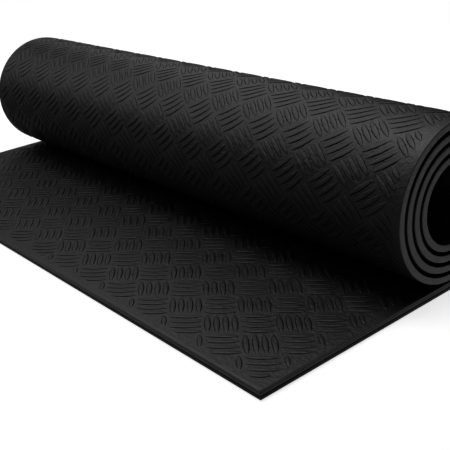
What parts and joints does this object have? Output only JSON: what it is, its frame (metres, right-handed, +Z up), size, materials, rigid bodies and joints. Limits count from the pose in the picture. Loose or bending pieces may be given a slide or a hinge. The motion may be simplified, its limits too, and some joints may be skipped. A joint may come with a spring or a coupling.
{
  "type": "electrical insulating mat",
  "caption": "Black rubber insulating mat with a raised checker tread, partly unrolled: one sheet that lies flat at its free edge and is wound into a loose roll.",
  "frame": {"origin": "on the floor, under the middle of the whole shape", "axes": "+X along the roll, across the mat's width; +Y from the free edge towards the roll; +Z up"},
  "size_m": [0.61, 0.2654, 0.1349],
  "materials": {
    "rubber": "matt calendered rubber with a pressed checker tread on both faces and knife-cut edges"
  },
  "bodies": {
    "root": {"rubber_mat": "rubber"}
  },
  "joints": []
}
